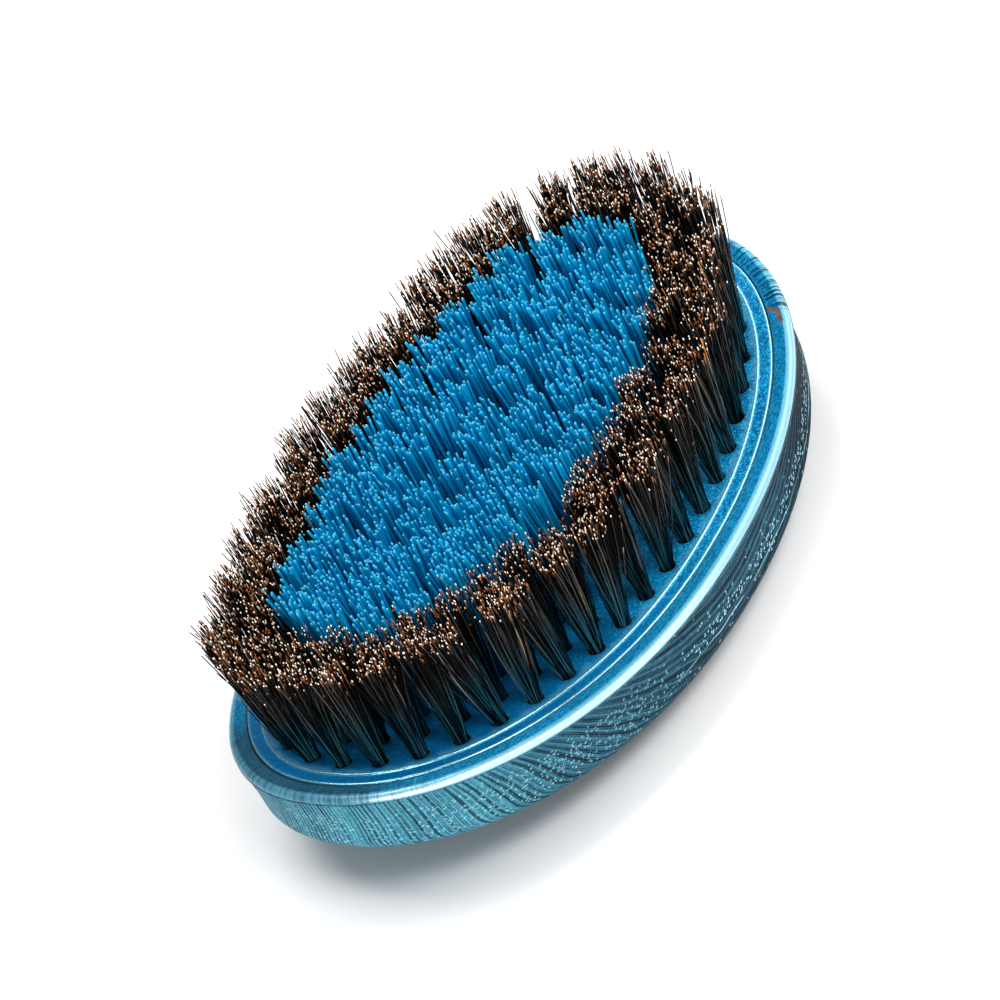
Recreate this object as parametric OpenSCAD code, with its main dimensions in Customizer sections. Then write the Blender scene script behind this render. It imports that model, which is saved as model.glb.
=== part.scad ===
// Oval palm brush for blending short hair. A lacquered wooden body is hollowed on its face
// for a drilled plate. Two rows of boar tufts ring a field of stiffer nylon tufts.
// The brush lies on its back: +X runs along the oval, +Z points out along the bristles.

/* [Oval] */
// Length of the oval seam between plate and body
seam_len = 110.2; // [100:0.2:125]
// Width of the oval seam between plate and body
seam_wid = 66; // [60:0.2:72]
// Squareness of the oval, where 2 is a true ellipse
oval_power = 2.15; // [2:0.05:2.5]
// Rise of the face from mid length to the two ends of the seam
end_rise = 5.8; // [2:0.2:8]

/* [Body] */
// Height of the rim above the flat of the back, at mid length
body_h = 15; // [14:0.5:18]
// Width of the rim around the plate, with its rounded edge
rim_w = 3; // [2.4:0.1:4]
// Radius of the rim's rounded outer edge
rim_r = 1.2; // [0.6:0.1:1.6]
// How far the wall draws in below the rim
wall_draw = 0.7; // [0:0.1:1.2]
// Height from the rim down to the lowest point of the wall's heel
wall_h = 11.6; // [10:0.2:13]
// Radius of the heel, where the wall turns under to the back
heel_r = 3; // [2:0.5:4]
// Depth sanded off the domed back to make its flat
back_flat = 0.4; // [0.2:0.1:0.8]

/* [Plate] */
// Thickness of the drilled plate
plate_t = 6; // [5.5:0.5:7]
// Gap between the plate's edge and the body
seam_gap = 0.15; // [0.1:0.05:0.3]
// Height of the plate's border above the rim
border_up = 0.2; // [0:0.05:0.4]
// Width of the plate's border, outside its raised field
border_w = 2.1; // [1.5:0.1:3]
// Height of the raised field above the border
field_up = 0.3; // [0.1:0.1:0.6]
// Thickness of the glue under the plate
film_t = 0.2; // [0.1:0.05:0.3]

/* [Tuft rows] */
// Inset of the outer tuft row from the seam
row_inset = 4.7; // [4.2:0.1:5.2]
// Distance between neighbouring rows
row_gap = 5.2; // [5:0.1:5.4]
// Distance between tufts along a row
tuft_pitch = 5.8; // [5.4:0.1:6.2]
// Diameter of the holes that the tufts stand in
hole_d = 2.5; // [2.3:0.1:2.8]
// Depth of the holes
hole_depth = 4.5; // [4:0.1:4.8]
// Free length of a boar tuft
boar_len = 18.2; // [16:0.2:20]
// Free length of a nylon tuft
nylon_len = 19.5; // [17:0.2:21]
// Diameter of a boar tuft at its tips
boar_tip_d = 4.6; // [3.6:0.1:4.8]
// Diameter of a nylon tuft at its tips
nylon_tip_d = 4.4; // [3.6:0.1:4.8]
// Outward lean of the outer boar row, in degrees
lean_outer = 3; // [0:0.5:4]
// Outward lean of the inner boar row, in degrees
lean_inner = 2; // [0:0.5:3]

/* [Anchors] */
// Width of an anchor across its hole
anchor_w = 2.2; // [1.8:0.1:2.2]
// Thickness of the anchor's flat wire
anchor_t = 0.4; // [0.2:0.1:0.5]
// Height of an anchor above the bottom of its hole
anchor_h = 1.5; // [1:0.1:2]

/* [Hidden] */

half_len = seam_len / 2;
half_wid = seam_wid / 2;
// Radius of the lengthwise curve through mid length and both ends of the seam
face_r = (pow(half_len, 2) + pow(end_rise, 2)) / (2 * end_rise);
// Height of the plate's raised field above the rim
field_z = border_up + field_up;
// Sides of each oval, and of the long cylinders that curve the face
oval_sides = 96;
curve_fn = 720;
// Length and height that are sure to clear the whole body
clear_wid = 120;
clear_h = 60;
// Radius of a tuft where it leaves its anchor
tuft_root_r = 1.02;
tuft_fn = 32;
// Angle at which the heel's arc meets the domed back
heel_start = 20;
// Centre of the heel's arc, as its offset from the seam and its height from the rim
heel_off = rim_w - wall_draw - heel_r;
heel_z = heel_r - wall_h;
// Colours
lacquer = "steelblue";
satin = "dodgerblue";
boar = [0.13, 0.09, 0.07];
nylon = [0.05, 0.45, 0.75];
glue = "wheat";
wire = "silver";

// ---- the oval ----

function signed_pow(v, e) = sign(v) * pow(abs(v), e);

// Point of an oval with half axes a and b, at angle t
function oval_pt(a, b, t) = [a * signed_pow(cos(t), 2 / oval_power), b * signed_pow(sin(t), 2 / oval_power)];

// Outward direction of the seam's oval at one of its points
function oval_out(a, b, p) =
    let (g = [signed_pow(p.x / a, oval_power - 1) / a, signed_pow(p.y / b, oval_power - 1) / b])
    g / norm(g);

// Seam outline, moved outward by off and then scaled about the centre
function outline(off, scale = 1) = [
    for (i = [0 : oval_sides - 1])
        let (p = oval_pt(half_len, half_wid, 360 * i / oval_sides))
        scale * (p + off * oval_out(half_len, half_wid, p))];

// Rise of the curved face above mid length, at distance x along the brush
function rise(x) = face_r - sqrt(pow(face_r, 2) - pow(x, 2));

// ---- the body ----

// A section of the body as [offset from the seam, scale, height from the rim, share of the rise]
function back_ring(t) = [
    heel_off + heel_r * sin(heel_start), t,
    -body_h - back_flat + (body_h + back_flat + heel_z - heel_r * cos(heel_start)) * pow(t, 3), t];
function heel_ring(a) = [heel_off + heel_r * sin(a), 1, heel_z - heel_r * cos(a), 1];
function wall_ring(u) = [rim_w - wall_draw * (1 - u * u), 1, heel_z + u * (-rim_r - heel_z), 1];
function edge_ring(a) = [rim_w - rim_r * (1 - cos(a)), 1, -rim_r * (1 - sin(a)), 1];

body_rings = concat(
    [for (t = [0.25, 0.4, 0.55, 0.7, 0.8, 0.9]) back_ring(t)],
    [for (a = [heel_start : 14 : 90]) heel_ring(a)],
    [for (u = [0.25 : 0.25 : 1]) wall_ring(u)],
    [for (a = [22.5 : 22.5 : 90]) edge_ring(a)],
    [for (s = [0.98, 0.7, 0.4]) [0, s, 0, 1]]);

function ring_points(r) = [
    for (p = outline(r[0], r[1])) [p.x, p.y, body_h + r[2] + r[3] * rise(p.x)]];

module lofted_block() {
    rings = len(body_rings);
    n = oval_sides;
    points = [for (r = body_rings) each ring_points(r)];
    sides = [for (k = [0 : rings - 2], i = [0 : n - 1])
        let (j = (i + 1) % n)
        each [[k * n + i, (k + 1) * n + j, k * n + j], [k * n + i, (k + 1) * n + i, (k + 1) * n + j]]];
    top = len(points);
    lid = [for (i = [0 : n - 1]) [(rings - 1) * n + i, top, (rings - 1) * n + (i + 1) % n]];
    base = [for (i = [0 : n - 1]) [i, (i + 1) % n, top + 1]];
    polyhedron(concat(points, [[0, 0, body_h], [0, 0, -back_flat]]), concat(sides, lid, base));
}

// Space above the curved face lowered by depth, inside the seam outline moved by off
module above_face(off, depth) {
    intersection() {
        linear_extrude(clear_h) polygon(outline(off));
        translate([0, 0, body_h + face_r]) rotate([90, 0, 0])
            cylinder(r = face_r + depth, h = clear_wid, center = true, $fn = curve_fn);
    }
}

module handle_body() {
    color(lacquer) difference() {
        lofted_block();
        above_face(0, plate_t + film_t);
        translate([0, 0, -clear_h / 2]) cube([2 * clear_wid, clear_wid, clear_h], center = true);
    }
}

module adhesive_film() {
    color(glue) difference() {
        above_face(-seam_gap, plate_t + film_t);
        above_face(1, plate_t);
    }
}

module tuft_plate() {
    color(satin) difference() {
        above_face(-seam_gap, plate_t);
        difference() {
            above_face(1, -border_up);
            above_face(-border_w, 0);
        }
        above_face(1, -field_z);
        for (r = [0 : len(rows) - 1]) at_tufts(r)
            translate([0, 0, -hole_depth]) cylinder(d = hole_d, h = 2 * hole_depth, $fn = tuft_fn);
    }
}

// ---- the tufts ----

// Each row as [inset from the seam, number of tufts, first tuft's place in pitches, lean]
core_inset = row_inset + 5 * row_gap;
core_tufts = 9;
function row_inset_at(r) = row_inset + r * row_gap;
function oval_length(a, b) = let (s = oval_steps(a, b)) s[len(s) - 1][0];
function row_count(r) =
    2 * round(oval_length(half_len - row_inset_at(r), half_wid - row_inset_at(r)) / tuft_pitch / 2);
row_lean = [lean_outer, lean_inner, 0, 0, 0];
rows = [for (r = [0 : 4]) [row_inset_at(r), row_count(r), (r % 2) / 2, row_lean[r]],
        [core_inset, core_tufts, 0, 0]];

// Table of [length so far, angle] round an oval, for even spacing
function oval_steps(a, b, steps = 180) = [
    for (i = 0, s = 0; i <= steps;
         i = i + 1, s = s + norm(oval_pt(a, b, 360 * i / steps) - oval_pt(a, b, 360 * (i - 1) / steps)))
        [s, 360 * i / steps]];

// Tufts of row r as [place, direction of the lean]
function row_tufts(r) =
    let (a = half_len - rows[r][0], b = half_wid - rows[r][0], n = rows[r][1])
    r < len(rows) - 1 ? ring_tufts(a, b, n, rows[r][2]) : line_tufts(a, n);
function ring_tufts(a, b, n, first) =
    let (steps = oval_steps(a, b), whole = steps[len(steps) - 1][0])
    [for (k = [0 : n - 1])
        let (p = oval_pt(a, b, lookup(whole * (k + first) / n, steps)), out = oval_out(a, b, p))
        [p, atan2(out.y, out.x)]];
function line_tufts(a, n) = [for (k = [0 : n - 1]) [[a * (2 * k / (n - 1) - 1), 0], 0]];

// Puts its children at each tuft of row r, on the plate's field, leaning outward
module at_tufts(r) {
    for (t = row_tufts(r))
        translate([t[0].x, t[0].y, body_h + rise(t[0].x) + field_z])
            rotate([0, rows[r][3], t[1]]) children();
}

// A row of tufts, each one a cone that opens from its anchor to its tips
module tuft_row(r, length, tip_d) {
    sunk = hole_depth - anchor_h;
    at_tufts(r) translate([0, 0, -sunk])
        cylinder(r1 = tuft_root_r, d2 = tip_d, h = sunk + length, $fn = tuft_fn);
}

// Flat wire anchors that hold the tufts at the bottom of their holes
module anchor_row(r) {
    at_tufts(r) translate([0, 0, anchor_h / 2 - hole_depth])
        cube([anchor_t, anchor_w, anchor_h], center = true);
}

module boar_row_outer() { color(boar) tuft_row(0, boar_len, boar_tip_d); }
module boar_row_inner() { color(boar) tuft_row(1, boar_len, boar_tip_d); }
module nylon_row_1() { color(nylon) tuft_row(2, nylon_len, nylon_tip_d); }
module nylon_row_2() { color(nylon) tuft_row(3, nylon_len, nylon_tip_d); }
module nylon_row_3() { color(nylon) tuft_row(4, nylon_len, nylon_tip_d); }
module nylon_row_core() { color(nylon) tuft_row(5, nylon_len, nylon_tip_d); }
module boar_anchors_outer() { color(wire) anchor_row(0); }
module boar_anchors_inner() { color(wire) anchor_row(1); }
module nylon_anchors_1() { color(wire) anchor_row(2); }
module nylon_anchors_2() { color(wire) anchor_row(3); }
module nylon_anchors_3() { color(wire) anchor_row(4); }
module nylon_anchors_core() { color(wire) anchor_row(5); }

handle_body();
adhesive_film();
tuft_plate();
boar_row_outer();
boar_row_inner();
nylon_row_1();
nylon_row_2();
nylon_row_3();
nylon_row_core();
boar_anchors_outer();
boar_anchors_inner();
nylon_anchors_1();
nylon_anchors_2();
nylon_anchors_3();
nylon_anchors_core();
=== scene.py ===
import math
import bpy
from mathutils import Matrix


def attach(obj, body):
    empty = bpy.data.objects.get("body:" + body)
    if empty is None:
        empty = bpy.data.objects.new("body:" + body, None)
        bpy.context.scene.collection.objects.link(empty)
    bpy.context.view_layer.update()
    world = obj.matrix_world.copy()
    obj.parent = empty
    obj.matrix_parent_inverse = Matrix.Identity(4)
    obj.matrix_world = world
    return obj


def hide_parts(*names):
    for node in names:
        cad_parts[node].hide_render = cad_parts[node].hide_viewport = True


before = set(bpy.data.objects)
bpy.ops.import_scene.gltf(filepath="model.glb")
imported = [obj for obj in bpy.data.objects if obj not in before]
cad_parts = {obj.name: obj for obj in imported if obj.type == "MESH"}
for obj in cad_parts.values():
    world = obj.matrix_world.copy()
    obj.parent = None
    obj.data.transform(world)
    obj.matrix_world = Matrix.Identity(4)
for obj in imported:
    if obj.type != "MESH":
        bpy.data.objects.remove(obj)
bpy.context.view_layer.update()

from types import SimpleNamespace

import bpy
import numpy as np
from mathutils import Matrix, Vector
from mathutils.geometry import delaunay_2d_cdt

MM = 0.001

# ---------------------------------------------------------------- sizes, as in the CAD source, in mm

HALF_LEN, HALF_WID = 55.1, 33.0  # the seam's half axes
OVAL_POWER = 2.15  # 2 would be a true ellipse
END_RISE = 5.8  # how far the face rises from mid length to an end
BODY_H = 15.0  # height of the rim at mid length
RIM_W, RIM_R = 3.0, 1.2  # the rim's width, and the radius of its outer edge
WALL_H, WALL_DRAW = 11.6, 0.7  # the wall's height, and how far it draws in
HEEL_R, BACK_FLAT = 3.0, 0.4  # the turn under to the back, and the depth of the sanded flat
PLATE_T, SEAM_GAP, FILM_T = 6.0, 0.15, 0.2
BORDER_W, BORDER_UP, FIELD_UP = 2.1, 0.2, 0.3  # the plate's border, and the field's step above it
ROW_INSET, ROW_GAP, TUFT_PITCH = 4.7, 5.2, 5.8
OVAL_ROWS, CORE_TUFTS = 5, 9
LEANS = [3.0, 2.0, 0.0, 0.0, 0.0, 0.0]  # how far each row's tufts lean outward, in degrees
HOLE_R, HOLE_DEPTH, ANCHOR_H = 1.25, 4.5, 1.5
BOAR_LEN, NYLON_LEN = 18.2, 19.5

FACE_R = (HALF_LEN**2 + END_RISE**2) / (2 * END_RISE)
FIELD_Z = BORDER_UP + FIELD_UP
HEEL_OFF = RIM_W - WALL_DRAW - HEEL_R
HEEL_Z = HEEL_R - WALL_H
OUTLINE_POINTS = 360
HOLE_SIDES = 28
GOLDEN_ANGLE = 2.39996  # in radians
# Where the chip in the rim's lacquer starts at the seam, turns and ends, as (x, y).
CHIP = [(43.3, -21.6), (43.0, -23.8), (41.3, -25.0)]


def signed_pow(v, e):
    return np.sign(v) * np.abs(v) ** e


def oval(a, b, t):
    """Points of an oval with half axes a and b, at angles t."""
    e = 2 / OVAL_POWER
    return np.stack([a * signed_pow(np.cos(t), e), b * signed_pow(np.sin(t), e)], -1)


def oval_out(a, b, p):
    """Outward directions of an oval at its points p."""
    e = OVAL_POWER - 1
    out = np.stack([signed_pow(p[:, 0] / a, e) / a, signed_pow(p[:, 1] / b, e) / b], -1)
    return out / np.linalg.norm(out, axis=1)[:, None]


def rise(x):
    """Rise of the curved face above mid length, at distance x along the brush."""
    return FACE_R - np.sqrt(FACE_R**2 - x**2)


def even_angles(a, b, shares):
    """Angles of the points that lie at these shares of the way round an oval, and the way's length."""
    t = np.linspace(0, 2 * math.pi, 4001)
    p = oval(a, b, t)
    s = np.concatenate([[0], np.cumsum(np.linalg.norm(np.diff(p, axis=0), axis=1))])
    return np.interp(np.asarray(shares) * s[-1], s, t), s[-1]


def circle(sides):
    """Points of a unit circle."""
    turn = 2 * math.pi * np.arange(sides) / sides
    return np.stack([np.cos(turn), np.sin(turn)], -1)


# ---------------------------------------------------------------- mesh helpers

def new_mesh(name, verts, faces, floats=None, vectors=None):
    """A mesh object from points in mm and faces of any size, with named values on its points."""
    me = bpy.data.meshes.new(name)
    sizes = np.concatenate([np.full(len(f), f.shape[1]) for f in faces])
    index = np.concatenate([f.ravel() for f in faces])
    me.vertices.add(len(verts))
    me.vertices.foreach_set("co", (np.asarray(verts) * MM).astype(np.float32).ravel())
    me.loops.add(len(index))
    me.loops.foreach_set("vertex_index", index.astype(np.int32))
    me.polygons.add(len(sizes))
    me.polygons.foreach_set("loop_start", (np.cumsum(sizes) - sizes).astype(np.int32))
    me.polygons.foreach_set("use_smooth", np.full(len(sizes), True))
    me.update(calc_edges=True)
    for key, value in (floats or {}).items():
        layer = me.attributes.new(key, "FLOAT", "POINT")
        layer.data.foreach_set("value", np.asarray(value, np.float32))
    for key, value in (vectors or {}).items():
        layer = me.attributes.new(key, "FLOAT_VECTOR", "POINT")
        layer.data.foreach_set("vector", np.asarray(value, np.float32).ravel())
    me.validate()
    ob = bpy.data.objects.new(name, me)
    bpy.context.scene.collection.objects.link(ob)
    return ob


def ring_faces(first, second):
    """Quads between two closed loops of point numbers."""
    a, b = np.asarray(first), np.asarray(second)
    return np.stack([a, np.roll(a, -1), np.roll(b, -1), b], -1)


def stacked_rings(loops):
    """Quads that join each loop to the next."""
    return [ring_faces(loops[k], loops[k + 1]) for k in range(len(loops) - 1)]


def place(ob, material, node):
    """Rides on the brush, stands for its CAD node and takes its material."""
    ob.data.materials.append(material)
    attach(ob, "root")
    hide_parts(node)


# ---------------------------------------------------------------- the tuft places

def tuft_rows():
    """Each row as (places, directions of lean, lean angle)."""
    rows = []
    for r in range(OVAL_ROWS):
        inset = ROW_INSET + r * ROW_GAP
        a, b = HALF_LEN - inset, HALF_WID - inset
        length = even_angles(a, b, [0])[1]
        n = 2 * round(length / TUFT_PITCH / 2)
        t, _ = even_angles(a, b, (np.arange(n) + (r % 2) / 2) / n)
        p = oval(a, b, t)
        rows.append((p, oval_out(a, b, p), LEANS[r]))
    core = HALF_LEN - ROW_INSET - OVAL_ROWS * ROW_GAP
    p = np.stack([np.linspace(-core, core, CORE_TUFTS), np.zeros(CORE_TUFTS)], -1)
    rows.append((p, np.tile([[1.0, 0.0]], (CORE_TUFTS, 1)), LEANS[OVAL_ROWS]))
    return rows


ROWS = tuft_rows()


def tuft_axes(row):
    """The foot of each tuft in a row, on the plate's field, and the tuft's unit axis."""
    p, out, lean = row
    a = math.radians(lean)
    axis = np.column_stack([out * math.sin(a), np.full(len(p), math.cos(a))])
    foot = np.column_stack([p, BODY_H + rise(p[:, 0]) + FIELD_Z])
    return foot, axis


# ---------------------------------------------------------------- node graphs

class Graph:
    """Short names for building a material's node tree."""

    def __init__(self, name):
        self.material = bpy.data.materials.new(name)
        self.material.use_nodes = True
        self.tree = self.material.node_tree
        self.tree.nodes.clear()
        self.out = self.tree.nodes.new("ShaderNodeOutputMaterial")

    def add(self, kind, sockets, **settings):
        """The outputs of a new node with these settings, and these values or links on its sockets."""
        n = self.tree.nodes.new("ShaderNode" + kind)
        for key, value in settings.items():
            setattr(n, key, value)
        for key, value in sockets.items():
            self.join(value, n.inputs[key])
        return n.outputs

    def join(self, value, socket):
        if isinstance(value, bpy.types.NodeSocket):
            self.tree.links.new(value, socket)
        elif isinstance(value, (tuple, list)) and socket.type == "RGBA":
            socket.default_value = (*value, 1.0)
        else:
            socket.default_value = value

    def math(self, op, a, b=0.0, c=0.0, clamp=False):
        return self.add("Math", {0: a, 1: b, 2: c}, operation=op, use_clamp=clamp)[0]

    def times(self, first, *others):
        for other in others:
            first = self.math("MULTIPLY", first, other)
        return first

    def plus(self, a, b):
        return self.math("ADD", a, b)

    def minus(self, a, b):
        return self.math("SUBTRACT", a, b)

    def times_plus(self, a, b, c):
        """a times b, plus c."""
        return self.math("MULTIPLY_ADD", a, b, c)

    def largest(self, a, b):
        return self.math("MAXIMUM", a, b)

    def away(self, value, middle):
        """How far a value is from the middle one, either way."""
        return self.math("ABSOLUTE", self.minus(value, middle))

    def between(self, value, low, high, to_low=0.0, to_high=1.0):
        """A smooth step from to_low to to_high as the value goes from low to high."""
        sockets = {"Value": value, "From Min": low, "From Max": high, "To Min": to_low, "To Max": to_high}
        return self.add("MapRange", sockets, interpolation_type="SMOOTHSTEP")["Result"]

    def blend(self, share, at_none, at_full):
        """A value that goes smoothly from one to the other as the share goes from 0 to 1."""
        return self.between(share, 0.0, 1.0, at_none, at_full)

    def mix(self, share, a, b):
        """A colour that goes from a to b as the share goes from 0 to 1."""
        return self.add("Mix", {0: share, 6: a, 7: b}, data_type="RGBA")[2]

    def layered(self, base, *layers):
        """A colour with others laid over it in turn, each as (share, colour)."""
        for share, colour in layers:
            base = self.mix(share, base, colour)
        return base

    def vector(self, x, y, z=0.0):
        return self.add("CombineXYZ", {0: x, 1: y, 2: z})[0]

    def parts(self, vector):
        """The x, y and z of a vector."""
        return tuple(self.add("SeparateXYZ", {0: vector}))

    def stretched(self, vector, factors):
        return self.add("VectorMath", {0: vector, 1: factors}, operation="MULTIPLY")[0]

    def noise(self, vector, scale=1.0, detail=2.0):
        sockets = {"Vector": vector, "Scale": scale, "Detail": detail, "Roughness": 0.5}
        return self.add("TexNoise", sockets)[0]

    def mm(self):
        """The place on the object, in mm."""
        coordinates = self.add("TexCoord", {})
        return self.add("VectorMath", {0: coordinates["Object"], "Scale": 1 / MM}, operation="SCALE")[0]

    def attribute(self, name, kind="Fac"):
        return self.add("Attribute", {}, attribute_name=name)[kind]

    def bump(self, height, distance_mm, strength=1.0):
        return self.add("Bump", {"Height": height, "Distance": distance_mm * MM, "Strength": strength})[0]

    def principled(self, **values):
        sockets = {key.replace("_", " "): value for key, value in values.items()}
        self.tree.links.new(self.add("BsdfPrincipled", sockets)[0], self.out.inputs["Surface"])
        return self.material


def flakes(g, mm, per_mm):
    """Brightness of the fine metal flake in the paint, from 0 to 1, one value for each small cell."""
    cells = g.add("TexVoronoi", {"Vector": mm, "Scale": per_mm})
    return g.add("SeparateColor", {0: cells["Color"]})[0]


def clouds(g, mm):
    """Wide, soft patches of tone, from 0 to 1."""
    return g.between(g.noise(g.stretched(mm, (0.10, 0.10, 0.10))), 0.3, 0.7)


# ---------------------------------------------------------------- the lacquered body's material

# Three sets of grain lines: lines in a mm across the layers, their width as a share of that pitch,
# how dark they stay where they fade, and how fast they break along their run.
COARSE_LINES = dict(per_mm=1.45, width=0.20, steady=0.80, run=0.16)
FINER_LINES = dict(per_mm=2.9, width=0.23, steady=0.65, run=0.25)
FINEST_LINES = dict(per_mm=5.8, width=0.30, steady=0.35, run=0.55)
LAYERS_MEET_Z = 12.0
# Zones of the body in mm, each as where it begins and where it is full: along the brush, across it,
# out from the seam, and down from the rim.
# At the left end the rim's top and rounded edge take painted shade.
LEFT_X, LEFT_SHADED_Y = (-40.0, -48.0), (-15.0, -4.0)
LEFT_MARKED_Y, LEFT_MARKED_OFF = (-22.0, -8.0), (0.9, 1.9)
FAR_X, FAR_OFF = (42.6, 44.6), (0.25, 0.5)
GLINT_SIDE_X = (-26.0, -10.0)
EDGE_OFF = (1.75, 2.05)
RIM_TOP_DEEP, EDGE_DEEP = (0.5, 0.2), (1.50, 1.30)
# Depths of the middle of the strip painted pale as a highlight on the rounded edge, of the band of painted
# glints and of the painted highlight line along the ridge, in mm.
HIGHLIGHT_DEEP, BAND_DEEP, RIDGE_HIGHLIGHT_DEEP = 0.70, 6.7, 8.6
GLINTS_PER_MM, HOOK_RADIUS = 1.7, 0.30
WALL_BLUE = (0.055, 0.255, 0.355), (0.075, 0.335, 0.450)
TOP_BLUE = (0.001, 0.125, 0.290), (0.008, 0.300, 0.570)
EDGE_BLUE = (0.075, 0.36, 0.53), (0.13, 0.47, 0.65)
BARE_WOOD = (0.11, 0.060, 0.045), (0.21, 0.125, 0.095)
# The pale hook colour is a painted glint, and the pale strip colour is a painted highlight.
OPEN_PORE, GLINT_PALE, HIGHLIGHT_PALE = (0.001, 0.008, 0.017), (0.45, 0.84, 0.92), (0.58, 0.86, 0.92)


def body_places(g):
    """Where a point of the body is: on the brush, out from the seam, and down from the rim, in mm."""
    mm, foot = g.mm(), g.attribute("foot", "Vector")
    x, y, z = g.parts(mm)
    foot_x, foot_y, off = g.parts(foot)
    deep = g.attribute("deep")
    spot = g.vector(foot_x, foot_y, deep)
    return SimpleNamespace(mm=mm, x=x, y=y, z=z, foot=foot, off=off, deep=deep, spot=spot)


def grain_lines(g, along, across, per_mm, width, steady, run):
    """Thin dark lines where the layers meet the surface, and a tone for each layer."""
    phase = g.times(across, per_mm)
    near = g.away(g.math("FRACT", phase), 0.5)
    number = g.add("TexWhiteNoise", {"W": g.math("FLOOR", phase)}, noise_dimensions="1D")[0]
    breaks = g.noise(g.stretched(g.vector(along, across), (run, 0.55 * per_mm, 1.0)))
    strong = g.times(g.between(breaks, 0.30, 0.55, steady, 1.0), g.between(number, 0.0, 0.7, 0.60, 1.0))
    wide = g.times(strong, width)
    return g.times(g.between(near, wide, g.times(wide, 0.35)), strong), number


def wood_grain(g, at):
    """All the grain lines of the body, and a tone for each of the wood's layers.

    The layers are sheets that hold the X axis, upright at mid width and fanning outward to both sides.
    """
    lift = g.minus(at.z, LAYERS_MEET_Z)
    layers = g.times_plus(at.y, g.times_plus(lift, 0.016, 1.0), g.times(lift, 0.07))
    warp = g.noise(g.stretched(at.mm, (0.030, 0.040, 0.040)), detail=1.0)
    along = g.minus(at.x, at.z)
    ripple = g.noise(g.vector(g.times(along, 0.10), g.times(layers, 0.45)), detail=1.0)
    across = g.plus(layers, g.times_plus(warp, 2.4, g.times(ripple, 0.5)))
    coarse, tone = grain_lines(g, along, across, **COARSE_LINES)
    finer, _ = grain_lines(g, along, across, **FINER_LINES)
    # The finest lines show where the wall runs nearly along the layers.
    finest, _ = grain_lines(g, along, across, **FINEST_LINES)
    finest = g.times(finest, g.between(g.away(at.x, 6.0), 44.0, 30.0))
    return g.largest(coarse, g.largest(finer, finest)), tone


def end_marks(g, at):
    """Fine marks across the rim at both ends of the brush."""
    comb = g.noise(g.stretched(at.foot, (4.2, 4.2, 0.2)), detail=1.5)
    near_end = g.times(g.between(at.x, *LEFT_X), g.between(at.y, *LEFT_MARKED_Y),
                       g.between(at.off, *LEFT_MARKED_OFF))
    far_end = g.times(g.between(at.x, *FAR_X), g.between(at.off, *FAR_OFF))
    marks = g.times(g.between(comb, 0.48, 0.41), g.plus(g.times(near_end, 0.6), far_end))
    return g.times(marks, g.between(at.deep, *EDGE_DEEP))


def wall_glints(g, at):
    """Painted glints: small pale hooks on the wall where pore edges catch the light, with a band of them
    and a painted highlight line along a ridge, both along one side.

    The second value is painted shade below the band.
    """
    spots = g.stretched(at.spot, (GLINTS_PER_MM,) * 3)
    cells = g.add("TexVoronoi", {"Vector": spots, "Scale": 1.0})
    pick = g.add("SeparateColor", {0: cells["Color"]})[0]
    from_point = g.add("VectorMath", {0: spots, 1: cells["Position"]}, operation="SUBTRACT")[0]
    radius = g.add("VectorMath", {0: from_point}, operation="LENGTH")["Value"]
    out_x, _, out_z = g.parts(from_point)
    # A hook is the half of a ring around the cell's point that lies on its open side.
    open_side = g.times_plus(out_x, 0.7, out_z)
    stroke = g.times(g.between(g.away(radius, HOOK_RADIUS), 0.15, 0.07), g.between(open_side, -0.10, 0.06))
    patches = g.between(g.noise(at.mm, 0.12, 1.0), 0.36, 0.56, 0.45, 1.0)
    one_side = g.between(at.x, *GLINT_SIDE_X)
    band = g.times(g.between(g.away(at.deep, BAND_DEEP), 1.1, 0.4), one_side)
    low = g.times(g.between(at.deep, 2.4, 5.2), g.between(at.deep, 11.0, 8.5), patches)
    low = g.times(low, g.blend(one_side, 0.85, 0.18))
    glint = g.times(stroke, g.between(g.minus(g.largest(low, band), pick), -0.04, 0.04))
    glint = g.times(glint, g.blend(one_side, 0.42, 1.0))
    wander = g.times_plus(g.noise(at.foot, 0.25), 0.9, at.deep)
    # A thin painted highlight line along a ridge low on the wall.
    ridge_highlight = g.times(g.between(g.away(wander, RIDGE_HIGHLIGHT_DEEP), 0.16, 0.05), one_side)
    glint = g.largest(glint, g.times(ridge_highlight, g.between(patches, 0.45, 1.0, 0.10, 0.50)))
    return glint, g.times(g.between(wander, 6.6, RIDGE_HIGHLIGHT_DEEP), one_side)


def to_line(g, at, start, end):
    """Distance in mm, seen from above, to the stretch between two places."""
    dx, dy = end[0] - start[0], end[1] - start[1]
    px, py = g.minus(at.x, start[0]), g.minus(at.y, start[1])
    share = g.times_plus(px, dx, g.times(py, dy))
    share = g.math("DIVIDE", share, dx * dx + dy * dy, clamp=True)
    qx, qy = g.minus(px, g.times(share, dx)), g.minus(py, g.times(share, dy))
    return g.math("SQRT", g.times_plus(qx, qx, g.times(qy, qy)))


def rim_chip(g, at):
    """A chip in the lacquer of the rim, down to bare wood, hooked from the seam along the rim."""
    start, turn, end = CHIP
    reach = g.math("MINIMUM", to_line(g, at, start, turn), to_line(g, at, turn, end))
    reach = g.times_plus(g.noise(at.mm, 2.5, 1.0), 0.30, reach)
    return g.times(g.between(reach, 0.56, 0.46), g.between(at.deep, 1.0, 0.6))


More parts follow.
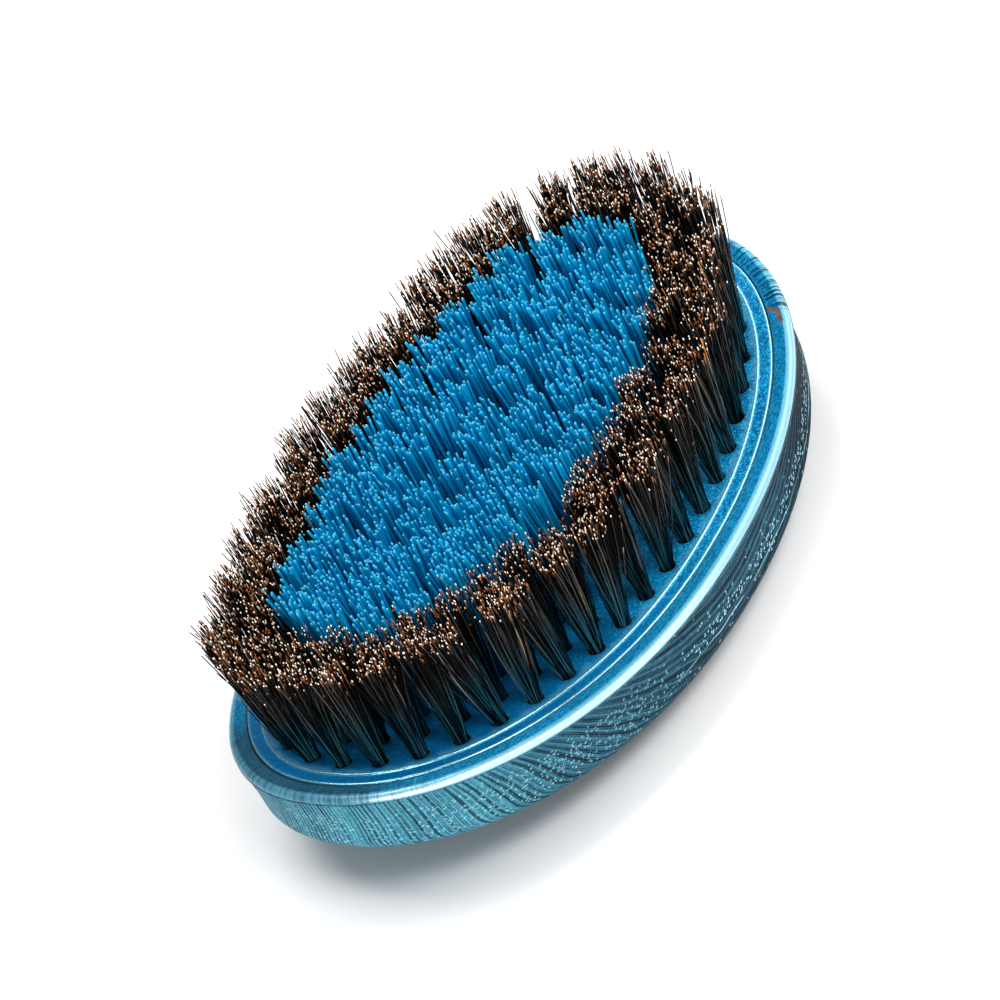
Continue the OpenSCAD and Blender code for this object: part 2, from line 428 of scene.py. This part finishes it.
def lacquered_wood():
    g = Graph("lacquered_wood")
    at = body_places(g)
    grain, tone = wood_grain(g, at)
    marks, chip = end_marks(g, at), rim_chip(g, at)
    glint, shade_below_band = wall_glints(g, at)
    flake = flakes(g, at.mm, 4.5)
    rim_top = g.between(at.deep, *RIM_TOP_DEEP)
    rounded = g.times(g.between(at.deep, *EDGE_DEEP), g.between(at.off, *EDGE_OFF))
    # The left end, where the rim's top and rounded edge are painted darker as shade, and the edge loses
    # its polish and its painted highlight.
    left_end = g.times(g.between(at.x, *LEFT_X), g.between(at.y, *LEFT_SHADED_Y))
    # The grain is faint on the rim, and fainter still where its rounded edge is polished smooth.
    dark = g.times(grain, g.blend(rim_top, 1.0, 0.30), g.blend(rounded, 1.0, 0.15))
    wall = g.layered(
        g.mix(clouds(g, at.mm), *WALL_BLUE),
        (g.times(tone, 0.22), (0.011, 0.095, 0.150)),
        (g.between(flake, 0.55, 1.0, 0.0, 0.75), (0.075, 0.36, 0.47)),
        (g.between(flake, 0.0, 0.3, 0.6, 0.0), (0.004, 0.050, 0.085)),
        # Painted shade: the wall is darker away from the left end, more so past mid length, and below the
        # band of glints.
        (g.between(at.x, -52.0, -40.0, 0.0, 0.68), (0.007, 0.055, 0.100)),
        (g.between(at.x, 8.0, 30.0, 0.0, 0.85), (0.014, 0.020, 0.030)),
        (g.times(shade_below_band, 0.6), (0.006, 0.035, 0.060)))
    # At the left end the rim's top and rounded edge are painted slate, as shade.
    top_paint = g.layered(
        g.mix(g.between(flake, 0.1, 0.9), *TOP_BLUE),
        (g.times(left_end, 0.8), (0.020, 0.055, 0.080)))
    edge = g.layered(
        g.mix(flake, *EDGE_BLUE),
        (g.times(left_end, 0.60), (0.022, 0.075, 0.110)))
    # A strip of the rounded edge is painted pale as a highlight, most of all left of mid length.
    edge_highlight = g.times(g.between(at.x, -24.0, 8.0, 1.0, 0.30), g.minus(1.0, left_end))
    edge_highlight = g.times(g.between(g.away(at.deep, HIGHLIGHT_DEEP), 0.50, 0.10), edge_highlight)
    base = g.layered(
        wall,
        (g.times(rim_top, 0.95), top_paint),
        (g.times(dark, 0.97), OPEN_PORE),
        # Painted glints on the wall.
        (g.times(glint, 0.95), GLINT_PALE),
        (rounded, g.mix(edge_highlight, edge, HIGHLIGHT_PALE)),
        (g.times(marks, 0.95), (0.002, 0.020, 0.040)),
        (chip, g.mix(flake, *BARE_WOOD)))
    height = g.minus(g.times_plus(glint, 0.5, g.times(flake, 0.12)), dark)
    height = g.minus(g.times(height, g.blend(rounded, 1.0, 0.0)), g.times(chip, 1.5))
    # The edge's polish fades past mid length and is nearly gone at both ends.
    ends = g.times(g.between(at.x, -20.0, 10.0, 1.0, 0.75), g.between(at.x, 40.0, 46.0, 1.0, 0.3))
    ends = g.times(g.blend(left_end, 1.0, 0.30), ends)
    polish = g.times(g.times(g.attribute("polish"), g.minus(1.0, chip)), ends)
    gloss = g.times(g.between(at.x, -5.0, 28.0, 0.14, 0.04), g.blend(rim_top, 1.0, 0.4))
    return g.principled(Base_Color=base, Metallic=g.blend(polish, 0.0, 0.55),
                        Roughness=g.blend(polish, g.blend(dark, 0.50, 0.75), 0.42),
                        Specular_IOR_Level=g.blend(polish, gloss, 0.5), Normal=g.bump(height, 0.07, 0.8),
                        Coat_Weight=g.blend(polish, 0.0, 0.8), Coat_Roughness=0.27, Coat_IOR=2.0)


# ---------------------------------------------------------------- the other materials

def satin_plate():
    g = Graph("satin_plate")
    mm = g.mm()
    x = g.parts(mm)[0]
    flake = flakes(g, mm, 5.2)
    # The arrises are polished, and nicked and broken towards one end.
    nicks = g.between(g.noise(mm, 0.9), 0.32, 0.42, 0.15, 1.0)
    polish = g.times(g.attribute("polish"), g.between(x, -50.0, -40.0, nicks, 1.0))
    coarse = g.between(x, -34.0, 6.0, 0.30, 1.0)
    base = g.layered(
        g.mix(clouds(g, mm), (0.001, 0.180, 0.450), (0.002, 0.215, 0.520)),
        (g.times(g.between(flake, 0.0, 0.45, 0.95, 0.0), coarse), (0.001, 0.070, 0.220)),
        (g.times(g.between(flake, 0.55, 1.0), coarse), (0.02, 0.62, 0.98)),
        # Painted shade of the bristles: the plate is darker towards the left end.
        (g.between(x, -10.0, -44.0, 0.0, 0.35), (0.001, 0.100, 0.280)),
        (polish, (0.30, 0.72, 0.86)))
    orange_peel = g.noise(mm, 1.6)
    height = g.times_plus(flake, 0.45, orange_peel)
    return g.principled(Base_Color=base, Metallic=g.blend(polish, 0.30, 0.9),
                        Roughness=g.blend(polish, g.between(coarse, 0.3, 1.0, 0.26, 0.42), 0.2),
                        Specular_IOR_Level=g.blend(polish, 0.2, 0.5), Normal=g.bump(height, 0.03, 0.7),
                        Coat_Weight=g.blend(polish, 0.03, 0.6), Coat_Roughness=0.2)


def fibre_bump(g, scale, depth_mm):
    """Fine lengthwise unevenness of a drawn or grown fibre."""
    return g.bump(g.noise(g.stretched(g.mm(), (1.0, 1.0, 0.15)), scale), depth_mm, 0.6)


def boar_bristle():
    """Near black with a few grey hairs that are painted glints, a painted teal reflection of the blue
    plate near the root of some hairs, copper near the end and pale on the cut end itself.
    """
    g = Graph("boar_bristle")
    tip, hair = g.attribute("tip"), g.attribute("hair")
    other = g.math("FRACT", g.times(hair, 57.3))  # a second random value for each hair
    # A few lighter hairs are painted glints along the shafts.
    shaft = g.layered(
        (0.0018, 0.0015, 0.0013),
        (g.between(other, 0.72, 0.82), (0.020, 0.018, 0.015)),
        (g.between(other, 0.94, 0.96), (0.14, 0.125, 0.10)))
    # Near the root some hairs take a painted teal reflection of the blue plate.
    root = g.mix(g.between(other, 0.55, 0.70), (0.001, 0.006, 0.009), (0.012, 0.085, 0.115))
    copper = g.mix(g.between(hair, 0.35, 0.85), (0.014, 0.005, 0.002), (0.42, 0.135, 0.038))
    cut_end = g.mix(g.between(other, 0.35, 0.55), (0.30, 0.10, 0.03), (1.0, 0.90, 0.74))
    gold = g.times(g.between(hair, 0.994, 0.996), g.between(tip, 13.0, 9.0))
    base = g.layered(
        shaft,
        (g.between(tip, 5.0, 15.0, 0.0, 0.85), root),
        (g.between(tip, g.blend(hair, 0.4, 1.4), 0.2), copper),
        (g.between(tip, 0.28, 0.17), cut_end),
        (g.times(gold, 0.9), (0.60, 0.31, 0.10)))
    return g.principled(Base_Color=base, Roughness=g.blend(other, 0.16, 0.26),
                        Specular_IOR_Level=g.between(hair, 0.68, 0.90, 0.03, 0.60),
                        Normal=fibre_bump(g, 9.0, 0.006))


def nylon_bristle():
    """Blue nylon, painted darker towards the plate as shade between the bristles, and lighter on the
    rounded tips.
    """
    g = Graph("nylon_bristle")
    tip, hair = g.attribute("tip"), g.attribute("hair")
    base = g.layered(
        g.mix(g.between(hair, 0.0, 1.0), (0.001, 0.245, 0.500), (0.002, 0.370, 0.690)),
        # Painted shade between the bristles, darker towards the plate.
        (g.between(tip, 5.0, 17.0), (0.001, 0.080, 0.215)),
        (g.between(tip, 0.45, 0.05), (0.05, 0.45, 0.66)))
    return g.principled(Base_Color=base, Roughness=0.34, Specular_IOR_Level=0.28,
                        Normal=fibre_bump(g, 5.0, 0.012))


def wood_glue():
    g = Graph("wood_glue")
    spots = g.noise(g.mm(), 0.8, 3.0)
    base = g.mix(spots, (0.62, 0.50, 0.28), (0.80, 0.70, 0.46))
    return g.principled(Base_Color=base, Roughness=g.between(spots, 0.3, 0.7, 0.35, 0.6),
                        Normal=g.bump(spots, 0.05))


def anchor_wire():
    g = Graph("anchor_wire")
    drawn = g.noise(g.stretched(g.mm(), (1.0, 1.0, 9.0)), 1.5)
    base = g.mix(drawn, (0.42, 0.42, 0.43), (0.66, 0.66, 0.67))
    return g.principled(Base_Color=base, Metallic=1.0, Roughness=g.between(drawn, 0.2, 0.8, 0.25, 0.45),
                        Normal=g.bump(drawn, 0.02))


def pale_floor():
    g = Graph("pale_floor")
    soft = g.noise(g.mm(), 0.01, 3.0)
    base = g.mix(soft, (0.84, 0.84, 0.84), (0.87, 0.87, 0.87))
    return g.principled(Base_Color=base, Roughness=0.95, Specular_IOR_Level=0.1)


# ---------------------------------------------------------------- the body

def outline(off, scale=1):
    """The seam's outline moved outward by off and then scaled, and the seam's own points."""
    t, _ = even_angles(HALF_LEN, HALF_WID, np.arange(OUTLINE_POINTS) / OUTLINE_POINTS)
    p = oval(HALF_LEN, HALF_WID, t)
    return scale * (p + off * oval_out(HALF_LEN, HALF_WID, p)), p


def body_section():
    """Rings of the body as (offset from the seam, scale, height from the rim, share of rise, polish)."""
    # The domed back, the heel and the wall, from the bottom up.
    heel_start, heel_step = 20, 5
    start = math.radians(heel_start)
    drop = BODY_H + BACK_FLAT + HEEL_Z - HEEL_R * math.cos(start)
    rings = [(HEEL_OFF + HEEL_R * math.sin(start), t, -BODY_H - BACK_FLAT + drop * t**3, t, 0)
             for t in np.linspace(0.04, 0.975, 26)]
    rings += [(HEEL_OFF + HEEL_R * math.sin(a), 1, HEEL_Z - HEEL_R * math.cos(a), 1, 0)
              for a in np.radians(np.arange(heel_start, 91, heel_step))]
    wall_top, edge_foot = -RIM_R - 0.42, -RIM_R
    rings += [(RIM_W - WALL_DRAW * (1 - u * u), 1, HEEL_Z + u * (edge_foot - HEEL_Z), 1, 0)
              for u in np.linspace(0.06, (wall_top - HEEL_Z) / (edge_foot - HEEL_Z), 16)]
    # A fine quirk under the rounded edge, with a crisp arris on the wall's top.
    quirk = [(0.02, 0.07, 1), (-0.05, 0.11, 1), (-0.15, 0.14, 0),
             (-0.19, 0.20, 0), (-0.17, 0.27, 0), (-0.07, 0.33, 0.3)]
    rings += [(RIM_W + out, 1, wall_top + up, 1, shine) for out, up, shine in quirk]
    rings += [(RIM_W - RIM_R * (1 - math.cos(a)), 1, -RIM_R * (1 - math.sin(a)), 1, 1 if a < 1.35 else 0.4)
              for a in np.radians(np.arange(4, 91, 6.5))]
    # The rim's flat, its soft inner arris and the pocket that holds the plate.
    flat = RIM_W - RIM_R
    rings += [(flat * s, 1, 0, 1, 0) for s in (0.92, 0.6, 0.35, 0.16)]
    arris = [(0.20, -0.002, 0.5), (0.11, -0.03, 1), (0.04, -0.09, 1), (0.0, -0.17, 0)]
    rings += [(off, 1, z, 1, shine) for off, z, shine in arris]
    floor_z = -PLATE_T - FILM_T
    rings += [(0, 1, z, 1, 0) for z in (-0.4, -2.5, floor_z + 0.05)]
    rings += [(0, s, floor_z, 1, 0) for s in (0.999, 0.95, 0.8, 0.6, 0.4, 0.2, 0.04)]
    return rings


def build_body():
    points, feet, deep, polish = [], [], [], []
    for off, scale, z, share, shine in body_section():
        p, foot = outline(off, scale)
        height = BODY_H + z + share * rise(p[:, 0])
        points.append(np.column_stack([p, np.maximum(height, 0.0)]))
        feet.append(np.column_stack([foot, np.full(OUTLINE_POINTS, off)]))
        deep.append(np.full(OUTLINE_POINTS, -z))
        polish.append(np.full(OUTLINE_POINTS, shine))
    points = np.concatenate(points)
    loops = np.arange(len(points)).reshape(-1, OUTLINE_POINTS)
    faces = [*stacked_rings(loops), loops[0][::-1][None, :], loops[-1][None, :]]
    floats = {"deep": np.concatenate(deep), "polish": np.concatenate(polish)}
    return new_mesh("body_shell", points, faces, floats, {"foot": np.concatenate(feet)})


# ---------------------------------------------------------------- the plate

# The plate's edge, border and step up to the field, as (offset from the seam, height, polish).
PLATE_SECTION = [(-SEAM_GAP, -PLATE_T, 0), (-SEAM_GAP, -2.5, 0), (-SEAM_GAP, -0.25, 0),
                 (-SEAM_GAP, BORDER_UP - 0.26, 0.5), (-SEAM_GAP - 0.04, BORDER_UP - 0.13, 1),
                 (-SEAM_GAP - 0.13, BORDER_UP - 0.03, 1), (-SEAM_GAP - 0.26, BORDER_UP, 0.4),
                 (-SEAM_GAP - 0.45, BORDER_UP, 0), (-BORDER_W + 0.4, BORDER_UP, 0),
                 (-BORDER_W + 0.10, BORDER_UP, 0), (-BORDER_W + 0.02, BORDER_UP + 0.03, 0.2),
                 (-BORDER_W, BORDER_UP + 0.09, 0.7), (-BORDER_W - 0.04, FIELD_Z - 0.12, 1),
                 (-BORDER_W - 0.13, FIELD_Z - 0.03, 1), (-BORDER_W - 0.26, FIELD_Z, 0.3)]
# A hole's lip, and its rings from the rounded mouth to the bottom, as (radius, height, polish). The
# mouth ends at MOUTH_Z.
HOLE_LIP = HOLE_R + 0.40
HOLE_SECTION = [(HOLE_R + 0.16, 0.0, 0.0), (HOLE_R + 0.05, -0.035, 0.6), (HOLE_R, -0.13, 0.3),
                (HOLE_R, -1.0, 0.0), (HOLE_R, -HOLE_DEPTH, 0.0)]
MOUTH_Z = -0.5
# The field's inner points: their spacing, and how far they keep from the border and from a lip.
FIELD_STEP, EDGE_CLEAR, LIP_CLEAR = 1.35, 0.9, 0.45


def field_triangles(edge, places):
    """The flat field between its edge loop and the lips of the holes, cut into small triangles.

    Gives the points, the triangles, and the number of the input point that each point comes from, or
    -1. The edge loop's points come first in that count, and then each hole's lip.
    """
    n = len(edge)
    outer, edges = [edge], [(i, (i + 1) % n) for i in range(n)]
    count = n
    for c in places:
        outer.append(c + circle(HOLE_SIDES) * HOLE_LIP)
        edges += [(count + i, count + (i + 1) % HOLE_SIDES) for i in range(HOLE_SIDES)]
        count += HOLE_SIDES
    # A grid of inner points, with its columns bent into waves so that they line up with nothing.
    gx, gy = np.meshgrid(np.arange(-54, 54.1, FIELD_STEP), np.arange(-32, 32.1, FIELD_STEP))
    grid = np.column_stack([gx.ravel() + 0.3 * np.sin(gy.ravel() * 2.1), gy.ravel()])
    a, b = HALF_LEN - BORDER_W - EDGE_CLEAR, HALF_WID - BORDER_W - EDGE_CLEAR
    inside = np.abs(grid[:, 0] / a) ** OVAL_POWER + np.abs(grid[:, 1] / b) ** OVAL_POWER < 1
    clear = np.min(np.linalg.norm(grid[:, None, :] - places[None], axis=2), axis=1) > HOLE_LIP + LIP_CLEAR
    outer.append(grid[inside & clear])
    made = delaunay_2d_cdt([Vector(p) for p in np.concatenate(outer)], edges, [], 1, 1e-5)
    verts = np.array([tuple(v) for v in made[0]])
    tris = np.array([f for f in made[2] if len(f) == 3])
    # Triangles inside a hole's lip are dropped, and the rest are turned to face up.
    middle = verts[tris].mean(axis=1)
    nearest = np.min(np.linalg.norm(middle[:, None, :] - places[None], axis=2), axis=1)
    tris = tris[nearest >= HOLE_LIP * 0.985]
    area = np.cross(verts[tris[:, 1]] - verts[tris[:, 0]], verts[tris[:, 2]] - verts[tris[:, 0]])
    tris = np.where((area > 0)[:, None], tris, tris[:, ::-1])
    origin = np.array([src[0] if src else -1 for src in made[3]])
    return verts, tris, origin


def hole_ring(centre, axis, radius, height):
    """A ring of a tuft hole: its mouth follows the curved field, and the rest follows the tuft's axis."""
    q = centre + circle(HOLE_SIDES) * radius
    if height < MOUTH_Z:
        top = BODY_H + rise(centre[0]) + FIELD_Z
        return np.column_stack([q + axis[:2] * height, np.full(HOLE_SIDES, top + height)])
    return np.column_stack([q, BODY_H + rise(q[:, 0]) + FIELD_Z + height])


def build_plate():
    """The drilled plate: a bordered top with a raised field, its edge, underside and tuft holes."""
    n = OUTLINE_POINTS
    flat = np.concatenate([outline(off)[0] for off, _, _ in PLATE_SECTION])
    heights = np.repeat([z for _, z, _ in PLATE_SECTION], n)
    polish = [np.repeat([float(shine) for _, _, shine in PLATE_SECTION], n)]
    loops = np.arange(len(flat)).reshape(-1, n)
    points = [np.column_stack([flat, BODY_H + rise(flat[:, 0]) + heights])]
    faces = stacked_rings(loops)
    places = np.concatenate([row[0] for row in ROWS])
    axes = np.concatenate([tuft_axes(row)[1] for row in ROWS])
    verts, tris, origin = field_triangles(flat[loops[-1]], places)
    # The field's first n input points are the plate's own edge loop, and it shares them.
    number = len(flat) + np.arange(len(verts))
    on_edge = (origin >= 0) & (origin < n)
    number[on_edge] = loops[-1][origin[on_edge]]
    faces.append(number[tris])
    points.append(np.column_stack([verts, BODY_H + rise(verts[:, 0]) + FIELD_Z]))
    polish.append(np.zeros(len(verts)))
    lips = {int(o): int(number[k]) for k, o in enumerate(origin) if o >= 0}
    count = len(flat) + len(verts)
    for h, (centre, axis) in enumerate(zip(places, axes)):
        loop = np.array([lips[n + h * HOLE_SIDES + i] for i in range(HOLE_SIDES)])
        for radius, height, shine in HOLE_SECTION:
            new = count + np.arange(HOLE_SIDES)
            points.append(hole_ring(centre, axis, radius, height))
            polish.append(np.full(HOLE_SIDES, shine))
            faces.append(ring_faces(loop, new))
            loop, count = new, count + HOLE_SIDES
        faces.append(loop[None, :])
    faces.append(loops[0][::-1][None, :])
    return new_mesh("drilled_plate", np.concatenate(points), faces, {"polish": np.concatenate(polish)})


# ---------------------------------------------------------------- the bristles

# How a tuft is made, lengths in mm: how many bristles, how their lengths and the tuft's own vary,
# how far they spread, scatter, stray and bow, and the shape of one bristle from its foot (height 0)
# to its tip (height 1). Height -1 is the foot inside the hole.
BOAR = dict(count=84, length=BOAR_LEN + 0.5, tuft_vary=0.30, vary=0.50, short=0.9, tuft_lean=0.8,
            spread=2.65, scatter=0.55, strays=0.12, stray_by=1.5, bow=0.30, gather=1.06, flare=1.0,
            radius=0.094, taper=0.84, sides=5,
            heights=[-1.0, 0.0, 0.2, 0.42, 0.64, 0.84, 0.985, 1.0],
            end_shape=[1, 1, 1, 1, 1, 1, 1, 1])
NYLON = dict(count=30, length=NYLON_LEN, tuft_vary=0.25, vary=0.35, short=0.45, tuft_lean=0.6,
             spread=2.60, scatter=0.30, strays=0.05, stray_by=0.8, bow=0.16, gather=1.02, flare=1.05,
             radius=0.20, taper=0.95, sides=7,
             heights=[-1.0, 0.0, 0.3, 0.65, 0.975, 0.990, 0.998, 1.0],
             end_shape=[1, 1, 1, 1, 1, 0.92, 0.70, 0.30])
# Each row as (piece, CAD node, kind). Boar rows come in two halves, a and b.
BRISTLE_ROWS = [("boar_hair_outer", "boar_row_outer", "boar"),
                ("boar_hair_inner", "boar_row_inner", "boar"),
                ("nylon_fibre_1", "nylon_row_1", "nylon"),
                ("nylon_fibre_2", "nylon_row_2", "nylon"),
                ("nylon_fibre_3", "nylon_row_3", "nylon"),
                ("nylon_fibre_core", "nylon_row_core", "nylon")]
FIRST_SEED = 41


def fibres(name, lines, radii, sides, tip_mm, hair):
    """Closed thin tubes along many lines at once. lines is (N, M, 3) in mm, radii (N, M)."""
    count, rings = lines.shape[:2]
    along = np.gradient(lines, axis=1)
    along /= np.linalg.norm(along, axis=2)[..., None]
    e1 = np.cross(along, np.array([0.0, 1.0, 0.0]))
    e1 /= np.linalg.norm(e1, axis=2)[..., None]
    e2 = np.cross(along, e1)
    turn = 2 * math.pi * np.arange(sides) / sides
    spin = hair[:, None] * 37.0 + turn
    c, s = np.cos(spin)[:, None, :, None], np.sin(spin)[:, None, :, None]
    around = c * e1[:, :, None, :] + s * e2[:, :, None, :]
    verts = (lines[:, :, None, :] + radii[:, :, None, None] * around).reshape(-1, 3)
    index = np.arange(len(verts)).reshape(count, rings, sides)
    a, b = index[:, :-1], index[:, 1:]
    quads = np.stack([a, np.roll(a, -1, axis=2), np.roll(b, -1, axis=2), b], -1).reshape(-1, 4)
    ends = [index[:, 0, ::-1], index[:, -1]]
    tips = np.repeat(tip_mm[:, :, None], sides, axis=2).ravel()
    hairs = np.repeat(hair, rings * sides)
    return new_mesh(name, verts, [quads, *ends], {"tip": tips, "hair": hairs})


def disc(n, rng):
    """n places spread evenly in a unit disc, slightly shaken."""
    k = np.arange(n) + 0.5
    r, t = np.sqrt(k / n), k * GOLDEN_ANGLE
    p = np.stack([r * np.cos(t), r * np.sin(t)], -1)
    p = p + rng.normal(0, 0.5 / math.sqrt(n), (n, 2))
    return p / np.maximum(1.0, np.linalg.norm(p, axis=1))[:, None]


def tuft_bristles(foot, axis, kind, rng):
    """A tuft's bristles as (lines, radii, distances to the tip, a random value for each)."""
    n, heights = kind["count"], np.array(kind["heights"])
    root = disc(n, rng)
    tuft_long = kind["length"] + rng.normal(0, kind["tuft_vary"])
    long = tuft_long + rng.normal(0, kind["vary"], n) - rng.exponential(kind["short"], n)
    tilt = axis[:2] / axis[2] + rng.normal(0, kind["tuft_lean"] / kind["length"], 2)
    spread = kind["spread"] * (1 + rng.normal(0, 0.06))
    end = root * spread + rng.normal(0, kind["scatter"], (n, 2))
    stray = rng.random(n) < kind["strays"]
    end[stray] += rng.normal(0, kind["stray_by"], (int(stray.sum()), 2))
    bow = rng.normal(0, kind["bow"], (n, 2))
    # Heights above the field, and the share of the free length that lies below each.
    held = HOLE_DEPTH - ANCHOR_H
    h = heights[None, :] * long[:, None]
    h[:, heights < 0] = heights[heights < 0] * held
    u = np.clip(h / long[:, None], 0, 1)
    # From the pinch on the anchor, through the hole's mouth, fanning out to the tip.
    flare = u ** kind["flare"]
    pinch = np.where(h < 0, 1 + 0.35 * h / held, 1.0)
    mouth = root * kind["gather"]
    xy = mouth[:, None, :] * (pinch * (1 - flare))[..., None] + end[:, None, :] * flare[..., None]
    xy = xy + bow[:, None, :] * (u * (1 - u) * 4)[..., None]
    xy = xy + tilt[None, None, :] * h[..., None]
    line = np.concatenate([foot[:2] + xy, (foot[2] + h)[..., None]], -1)
    thick = kind["radius"] * (1 + rng.normal(0, 0.10, n))
    taper = np.interp(u, [0, 1], [1.0, kind["taper"]])
    radii = thick[:, None] * taper * np.array(kind["end_shape"])[None, :]
    return line, radii, long[:, None] - h, rng.random(n)


def bristle_row(name, r, kind, seed, first, last):
    """The bristles of a row's tufts from one place in the row to another."""
    rng = np.random.default_rng(seed)
    foot, axis = (part[first:last] for part in tuft_axes(ROWS[r]))
    tufts = [tuft_bristles(foot[k], axis[k], kind, rng) for k in range(len(foot))]
    lines, radii, tips, hair = (np.concatenate(part) for part in zip(*tufts))
    return fibres(name, lines, radii, kind["sides"], tips, hair)


def build_bristles():
    kinds = {"boar": (BOAR, "boar_bristle", boar_bristle()),
             "nylon": (NYLON, "nylon_bristle", nylon_bristle())}
    seed = FIRST_SEED
    for r, (name, node, kind_name) in enumerate(BRISTLE_ROWS):
        kind, slot_name, look = kinds[kind_name]
        tufts = len(ROWS[r][0])
        parts = [(name, 0, tufts)]
        if kind_name == "boar":
            parts = [(name + "_a", 0, tufts // 2), (name + "_b", tufts // 2, tufts)]
        for part_name, first, last in parts:
            place(bristle_row(part_name, r, kind, seed, first, last), look, node)
            seed += 1


# ---------------------------------------------------------------- build

place(build_body(), lacquered_wood(), "handle_body")
place(build_plate(), satin_plate(), "tuft_plate")
build_bristles()

# The glue film and the anchors keep their CAD shapes and only take a material.
glue, wire = wood_glue(), anchor_wire()
for node_name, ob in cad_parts.items():
    if node_name == "adhesive_film" or "anchors" in node_name:
        look = glue if node_name == "adhesive_film" else wire
        if ob.data.materials:
            for s in ob.material_slots:
                s.material = look
        else:
            ob.data.materials.append(look)

# ---------------------------------------------------------------- floor, light and camera

FLOOR_HALF, FLOOR_POINTS = 4000.0, 24
LIT_POINT = (0, 0, 0.02)
# Each light as (name, azimuth, elevation, distance, size, watts), in degrees and metres.
LIGHTS = [("key_light", -46, 36, 1.3, (1.0, 0.7), 9.0),
          ("front_light", -104, 50, 1.3, (0.6, 0.4), 8.0),
          ("side_light", -4, 27, 1.3, (0.8, 0.4), 6.0),
          ("top_light", 70, 70, 1.5, (1.1, 0.8), 18.0),
          ("low_light", -165, 9, 1.3, (0.9, 0.25), 12.0)]
# The background's colour by height: (share of the way from below to overhead, colour).
SKY = [(0.50, (0.22, 0.23, 0.25, 1)), (0.95, (1.0, 1.0, 1.0, 1))]
SKY_STRENGTH = 0.45
# The camera's aim point and distance in mm, its direction and roll in degrees, and its lens.
AIM, AIM_DISTANCE = (2.3, 2.8, 18.95), 813.8
AZIMUTH, ELEVATION, ROLL = -134.8, 35.4, -27.9
FOCAL_LENGTH, SENSOR_WIDTH = 207.5, 36.0


def direction(azimuth, elevation):
    """The unit vector from the brush towards a direction in degrees."""
    az, el = math.radians(azimuth), math.radians(elevation)
    return Vector((math.cos(el) * math.cos(az), math.cos(el) * math.sin(az), math.sin(el)))


def build_floor():
    """A pale sheet that lies flat under the brush."""
    side = FLOOR_POINTS
    u = np.linspace(-1, 1, side)
    x, y = np.meshgrid(u * FLOOR_HALF, u * FLOOR_HALF)
    points = np.column_stack([x.ravel(), y.ravel(), np.zeros(x.size)])
    index = np.arange(side * side).reshape(side, side)
    quads = np.stack([index[:-1, :-1], index[:-1, 1:], index[1:, 1:], index[1:, :-1]], -1).reshape(-1, 4)
    ob = new_mesh("studio_floor", points, [quads])
    ob.data.materials.append(pale_floor())
    return ob


def soft_box(name, azimuth, elevation, distance, size, watts):
    """A rectangular studio light that looks at the brush from a direction in degrees."""
    lamp = bpy.data.lights.new(name, "AREA")
    lamp.shape, lamp.size, lamp.size_y = "RECTANGLE", size[0], size[1]
    lamp.energy = watts
    ob = bpy.data.objects.new(name, lamp)
    bpy.context.scene.collection.objects.link(ob)
    d = direction(azimuth, elevation)
    ob.location = Vector(LIT_POINT) + d * distance
    ob.rotation_mode = "QUATERNION"
    ob.rotation_quaternion = d.to_track_quat("Z", "Y")


def build_sky():
    """A soft grey to white background that also fills the shadows."""
    world = bpy.data.worlds.new("studio_world")
    bpy.context.scene.world = world
    world.use_nodes = True
    tree = world.node_tree
    back = tree.nodes["Background"]
    coord = tree.nodes.new("ShaderNodeTexCoord")
    split = tree.nodes.new("ShaderNodeSeparateXYZ")
    ramp = tree.nodes.new("ShaderNodeValToRGB")
    tree.links.new(coord.outputs["Generated"], split.inputs[0])
    tree.links.new(split.outputs[2], ramp.inputs[0])
    for element, (position, colour) in zip(ramp.color_ramp.elements, SKY):
        element.position, element.color = position, colour
    tree.links.new(ramp.outputs[0], back.inputs[0])
    back.inputs[1].default_value = SKY_STRENGTH


def build_camera():
    """A long lens that looks at the brush from the left, above and in front, rolled to one side."""
    back = direction(AZIMUTH, ELEVATION)
    level = Vector((0, 0, 1)).cross(back).normalized()
    upright = back.cross(level)
    roll = math.radians(ROLL)
    right = level * math.cos(roll) + upright * math.sin(roll)
    up = back.cross(right)
    lens = bpy.data.cameras.new("camera")
    lens.lens, lens.sensor_width = FOCAL_LENGTH, SENSOR_WIDTH
    lens.clip_start, lens.clip_end = 0.05, 20.0
    camera = bpy.data.objects.new("camera", lens)
    bpy.context.scene.collection.objects.link(camera)
    turn = Matrix((right, up, back)).transposed().to_4x4()
    camera.matrix_world = Matrix.Translation(Vector(AIM) * MM + back * AIM_DISTANCE * MM) @ turn
    bpy.context.scene.camera = camera


floor = build_floor()
for light in LIGHTS:
    soft_box(*light)
build_sky()
build_camera()
bpy.context.scene.view_settings.view_transform = "Standard"
